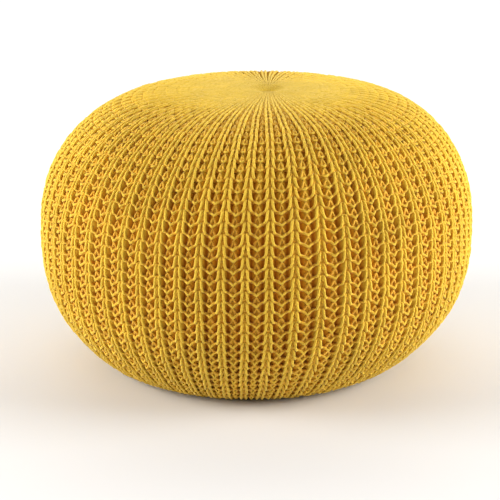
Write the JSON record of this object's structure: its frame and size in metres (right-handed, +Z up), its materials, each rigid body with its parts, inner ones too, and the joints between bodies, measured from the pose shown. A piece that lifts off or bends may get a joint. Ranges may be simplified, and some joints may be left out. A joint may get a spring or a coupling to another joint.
{
  "type": "knitted floor pouf",
  "caption": "Round floor pouf with a chunky ribbed knitted cover, gathered at the top and base centres and resting on a flat base.",
  "frame": {"origin": "centre of the flat base that the pouf stands on", "axes": "+Z up through the top gather; +X to the right and -Y towards a viewer facing the pouf"},
  "size_m": [0.5498, 0.55, 0.3499],
  "materials": {
    "mustard_yarn": "soft mustard yellow cotton yarn, chunky ribbed knit, matt with a light fuzz"
  },
  "bodies": {
    "root": {"knitted_pouf": "mustard_yarn"}
  },
  "joints": []
}
